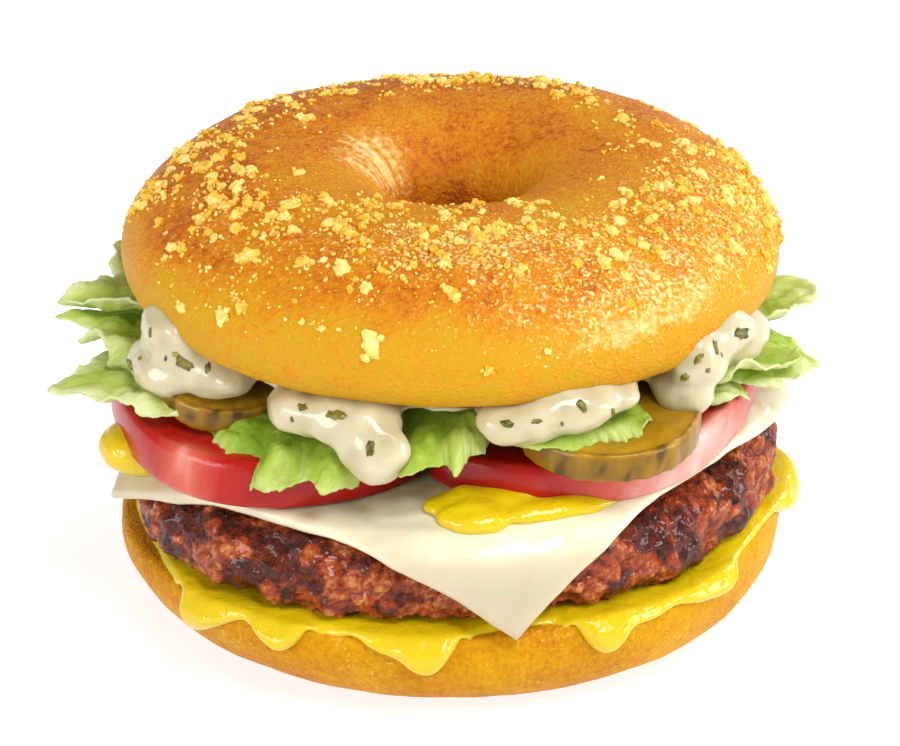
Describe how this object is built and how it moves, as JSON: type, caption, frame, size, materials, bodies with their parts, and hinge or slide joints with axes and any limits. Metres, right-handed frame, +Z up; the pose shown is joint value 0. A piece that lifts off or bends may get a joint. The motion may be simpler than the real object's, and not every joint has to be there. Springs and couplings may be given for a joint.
{
  "type": "beef burger",
  "caption": "Beef burger in a bagel bun with cheese, tomato, pickle, lettuce, a yellow and a white sauce, and crumbs on the crown.",
  "frame": {"origin": "middle of the bounding box at its base", "axes": "+Z up through the bun; the front, with the cheese's hanging corner, faces -Y; +X is to the right seen from the front"},
  "size_m": [0.1274, 0.1198, 0.0803],
  "materials": {
    "bun": "baked, satin",
    "crown": "baked, glazed",
    "patty": "fried, craggy",
    "cheese": "glossy",
    "mustard": "wet",
    "tomato": "wet",
    "pickle": "wet",
    "lettuce": "fresh, satin",
    "cream": "wet"
  },
  "bodies": {
    "root": {"heel_bun": "bun", "yellow_sauce_lower": "mustard", "beef_patty": "patty", "cheese_slice": "cheese", "tomato_left": "tomato", "tomato_right": "tomato", "tomato_back": "tomato", "yellow_sauce_upper": "mustard", "yellow_sauce_front": "mustard", "pickle_left": "pickle", "pickle_right": "pickle", "pickle_back": "pickle", "white_sauce": "cream", "lettuce_left_low": "lettuce", "lettuce_left_middle": "lettuce", "lettuce_left_high": "lettuce", "lettuce_front_left": "lettuce", "lettuce_front_small": "lettuce", "lettuce_front_middle": "lettuce", "lettuce_front_right": "lettuce", "lettuce_right_dark": "lettuce", "lettuce_right_low": "lettuce", "lettuce_right_middle": "lettuce", "lettuce_right_outer": "lettuce", "lettuce_right_high": "lettuce", "lettuce_back_right": "lettuce", "lettuce_back_middle": "lettuce", "lettuce_back_left": "lettuce", "lettuce_middle": "lettuce", "crown_bun": "crown"}
  },
  "joints": []
}
